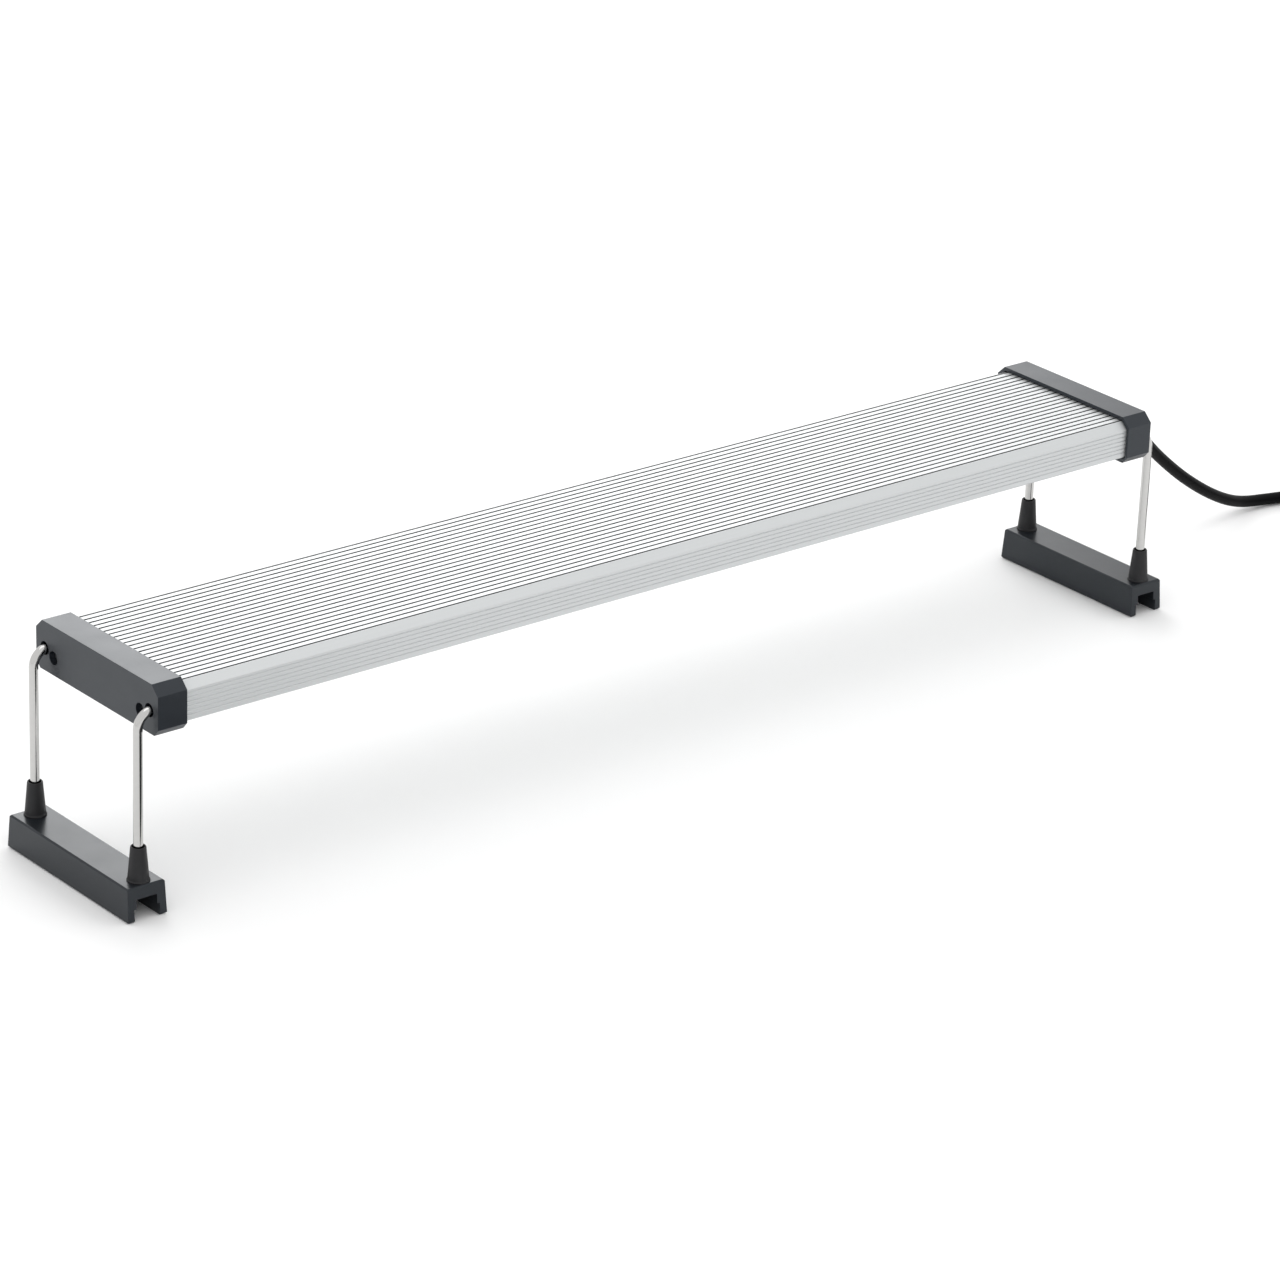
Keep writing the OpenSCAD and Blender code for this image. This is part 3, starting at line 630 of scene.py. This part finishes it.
class LAMP_OT_lead(bpy.types.Operator):
    """Lay the mains lead from the cap down to the table, and wind the rest into a coil"""
    bl_idname = "lamp.lead"
    bl_label = "Mains lead"

    def coil_points(self, sizes):
        """Clockwise turns: three beside each other from the outside in, then out again on top of them."""
        centre = Vector((0.495, -0.045, 0.004))
        gap = sizes.turn_gap
        per_turn, turns, start = 40, 5.375, math.radians(45)
        steps_in, step_up, steps_out = (0.70, 1.70), 2.52, (3.375, 4.375)  # the turns at which each begins

        def ramp(turn, begin, span=0.3):
            """Rises smoothly from 0 to 1 over a part of a turn."""
            x = min(max((turn - begin) / span, 0), 1)
            return 0.5 - 0.5 * math.cos(math.pi * x)

        points = []
        for k in range(round(per_turn * turns) + 1):
            turn = k / per_turn
            inward = sum(ramp(turn, begin) for begin in steps_in)
            outward = sum(ramp(turn, begin) for begin in steps_out)
            r = sizes.coil_radius + gap * (outward - inward)
            a = start - math.tau * turn
            height = gap * ramp(turn, step_up, 0.34)
            points.append(centre + Vector((r * math.cos(a), r * math.sin(a), height)))
        return points

    def execute(self, context):
        sizes = context.scene.lead_sizes
        lead = [Vector(p) * MM for p in LEAD_POINTS]
        tail = [Vector(p) * MM for p in TAIL_POINTS]
        path = smooth_path(lead + self.coil_points(sizes) + tail, PATH_STEP)
        bm = bmesh.new()
        sweep(bm, path, sizes.diameter / 2, 28)
        obj = new_object("mains_lead", bm, MATERIALS["cord_pvc"])
        place(obj, "lamp", "cord_pvc", "cord_lead", "cord_coil", "cord_tail")
        return {"FINISHED"}


class LAMP_OT_lead_fittings(bpy.types.Operator):
    """Make the plug, the strain relief and the two straps round the coil"""
    bl_idname = "lamp.lead_fittings"
    bl_label = "Plug, strain relief and straps"

    def execute(self, context):
        sizes = context.scene.lamp_sizes
        softened("plug_body", MATERIALS["plug_pvc"], sizes.plug_edge, 4, 20)
        softened("plug_pins", MATERIALS["pin_metal"], sizes.pin_edge, 3)
        softened("plug_pin_sleeves", MATERIALS["cord_pvc"], sizes.pin_sleeve_edge, 2)
        softened("coil_ties", MATERIALS["tie"], sizes.tie_edge, 3)
        softened("strain_relief", MATERIALS["plug_pvc"], sizes.trim_edge, 2)
        return {"FINISHED"}


class LAMP_OT_housing(bpy.types.Operator):
    """Round the fine edges of the finned aluminium housing"""
    bl_idname = "lamp.housing"
    bl_label = "Housing"

    def execute(self, context):
        softened("housing", MATERIALS["anodised_aluminium"], context.scene.lamp_sizes.fin_edge, 2)
        return {"FINISHED"}


class LAMP_OT_end_caps(bpy.types.Operator):
    """Make the two moulded end caps with their screws"""
    bl_idname = "lamp.end_caps"
    bl_label = "End caps"

    def execute(self, context):
        sizes = context.scene.lamp_sizes
        for side in SIDES:
            softened(f"end_cap_{side}", MATERIALS["cap_plastic"], sizes.cap_edge, 3)
            softened(f"cap_screws_{side}", MATERIALS["screw_steel"], sizes.trim_edge, 2)
            softened(f"rod_grips_{side}", MATERIALS["seal_rubber"], sizes.trim_edge, 2)
        return {"FINISHED"}


class LAMP_OT_wires(bpy.types.Operator):
    """Bend the four stainless wires of the stands"""
    bl_idname = "lamp.wires"
    bl_label = "Stand wires"

    def execute(self, context):
        sizes = context.scene.lamp_sizes
        r, bend, steps = sizes.wire_radius, sizes.wire_bend, 20
        for side, out in SIDES.items():
            for depth in DEPTHS:
                low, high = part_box(f"rod_{side}_{depth}")
                y = (low.y + high.y) / 2
                inner, outer = (low.x, high.x - r) if out > 0 else (high.x, low.x + r)
                top = high.z - r
                arc = [math.radians(90 * k / steps) for k in range(steps + 1)]
                corner = Vector((outer - out * bend, y, top - bend))
                path = [Vector((inner, y, top))]
                path += [corner + bend * Vector((out * math.sin(a), 0, math.cos(a))) for a in arc]
                path.append(Vector((outer, y, low.z)))
                bm = bmesh.new()
                sweep(bm, path, r, 48)
                obj = new_object(f"wire_{side}_{depth}", bm, MATERIALS["stainless_wire"])
                place(obj, f"{side}_stand", "stainless_wire", f"rod_{side}_{depth}")
        return {"FINISHED"}


class LAMP_OT_sleeves(bpy.types.Operator):
    """Turn the four rubber sleeves at the feet of the wires"""
    bl_idname = "lamp.sleeves"
    bl_label = "Sleeves"

    def outline(self, sizes, rim, foot, rail_top, top):
        """The sleeve's section, from the bottom of its bore round to the top of it."""
        bore, spigot, mouth = sizes.wire_radius + 0.03 * MM, sizes.spigot, sizes.sleeve_mouth
        base = rim - 0.45 * MM
        in_rail = [(bore, foot), (spigot, foot), (spigot, rail_top)]
        flange = [(rim - 0.1 * MM, rail_top), (rim, rail_top + 0.1 * MM), (rim, rail_top + 0.45 * MM),
                  (rim - 0.1 * MM, rail_top + 0.6 * MM)]
        cone = [(base + 0.1 * MM, rail_top + 0.9 * MM), (base, rail_top + 1.3 * MM),
                (mouth, top - 0.6 * MM)]
        lip = [(mouth - 0.08 * MM, top - 0.25 * MM), (mouth - 0.3 * MM, top),
               (bore + 0.85 * MM, top), (bore + 0.7 * MM, top - 0.15 * MM)]
        recess = [(bore + 0.6 * MM, top - 2.2 * MM), (bore, top - 2.8 * MM)]
        return in_rail + flange + cone + lip + recess

    def execute(self, context):
        sizes = context.scene.lamp_sizes
        for side in SIDES:
            rail_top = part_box(f"rail_{side}")[1].z
            for depth in DEPTHS:
                node = f"sleeve_{side}_{depth}"
                low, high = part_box(node)
                centre = (low + high) / 2
                outline = self.outline(sizes, (high.x - low.x) / 2, low.z, rail_top, high.z)
                bm = bmesh.new()
                lathe(bm, outline, centre.x, centre.y, 96)
                obj = even_normals(new_object(node + "_skin", bm, MATERIALS["sleeve_rubber"]))
                place(obj, f"{side}_stand", "sleeve_rubber", node)
        return {"FINISHED"}


class LAMP_OT_rails(bpy.types.Operator):
    """Make the two slotted foot rails"""
    bl_idname = "lamp.rails"
    bl_label = "Foot rails"

    def execute(self, context):
        for side in SIDES:
            softened(f"rail_{side}", MATERIALS["rail_plastic"], context.scene.lamp_sizes.rail_edge, 4)
        return {"FINISHED"}


class LAMP_OT_leds(bpy.types.Operator):
    """Make every LED with its white package, tinned ends and phosphor"""
    bl_idname = "lamp.leds"
    bl_label = "LEDs"

    def execute(self, context):
        sizes = context.scene.lamp_sizes
        boxes = loose_boxes("leds")
        if not boxes:
            raise RuntimeError("no LEDs found")
        package, phosphor, tin = range(3)
        end, inset, tin_top, tin_edge = sizes.led_end, 0.3 * MM, 0.45 * MM, 0.05 * MM
        bm = bmesh.new()
        for low, high in boxes:
            face = low.z + sizes.lens_height
            block_into(bm, (low.x, low.y + end, face), (high.x, high.y - end, high.z),
                       sizes.led_edge, package)
            for y0, y1 in ((low.y, low.y + 1.5 * end), (high.y - 1.5 * end, high.y)):
                block_into(bm, (low.x + inset, y0, face + tin_top), (high.x - inset, y1, high.z),
                           tin_edge, tin)
            dome_into(bm, (low + high) / 2, sizes.lens_radius, face + sizes.lens_sink, low.z, phosphor)
        obj = new_object("leds_skin", bm, MATERIALS["package"], MATERIALS["led_phosphor"], MATERIALS["tin"])
        place(obj, "lamp", "led_phosphor", "leds")
        return {"FINISHED"}


class LAMP_OT_board_parts(bpy.types.Operator):
    """Round the screws of the board, the covers, the guides and the stops"""
    bl_idname = "lamp.board_parts"
    bl_label = "Small parts"

    def execute(self, context):
        edge = context.scene.lamp_sizes.trim_edge
        for node in ("board_screws", "driver_cover", "driver_parts", "rod_guides_left", "rod_guides_right",
                     "rod_stops_left", "rod_stops_right"):
            softened(node, MATERIALS[slot_of(node)], edge, 2)
        return {"FINISHED"}


class LAMP_OT_inner_parts(bpy.types.Operator):
    """Give every part inside the lamp its finish"""
    bl_idname = "lamp.inner_parts"
    bl_label = "Inner parts"

    def execute(self, context):
        for name, obj in frame["nodes"].items():
            if not obj.hide_render:
                obj.data.materials.clear()
                obj.data.materials.append(MATERIALS[slot_of(name)])
        return {"FINISHED"}


class LAMP_PT_panel(bpy.types.Panel):
    """The steps that build the lamp, in order"""
    bl_label = "Aquarium light"
    bl_space_type = "VIEW_3D"
    bl_region_type = "UI"
    bl_category = "Aquarium light"

    def draw(self, context):
        for step in STEPS:
            self.layout.operator(step.bl_idname)
        for group in ("lamp_sizes", "lead_sizes", "lamp_colours", "lamp_studio"):
            values = getattr(context.scene, group)
            box = self.layout.box()
            for name in values.__annotations__:
                box.prop(values, name)


STEPS = (
    LAMP_OT_stage, LAMP_OT_lead_fittings, LAMP_OT_lead, LAMP_OT_housing, LAMP_OT_end_caps,
    LAMP_OT_wires, LAMP_OT_sleeves, LAMP_OT_rails, LAMP_OT_leds, LAMP_OT_board_parts,
    LAMP_OT_inner_parts,
)
GROUPS = {"lamp_sizes": LampSizes, "lead_sizes": LeadSizes, "lamp_colours": Colours, "lamp_studio": Studio}


def register():
    for group in GROUPS.values():
        bpy.utils.register_class(group)
    for name, group in GROUPS.items():
        setattr(bpy.types.Scene, name, PointerProperty(type=group))
    for step in STEPS:
        bpy.utils.register_class(step)
    bpy.utils.register_class(LAMP_PT_panel)


def unregister():
    bpy.utils.unregister_class(LAMP_PT_panel)
    for step in reversed(STEPS):
        bpy.utils.unregister_class(step)
    for name in GROUPS:
        delattr(bpy.types.Scene, name)
    for group in reversed(GROUPS.values()):
        bpy.utils.unregister_class(group)


def main():
    register()
    MATERIALS.update(make_materials())
    for step in STEPS:
        group, call = step.bl_idname.split(".")
        getattr(getattr(bpy.ops, group), call)()


if __name__ == "__main__":
    main()
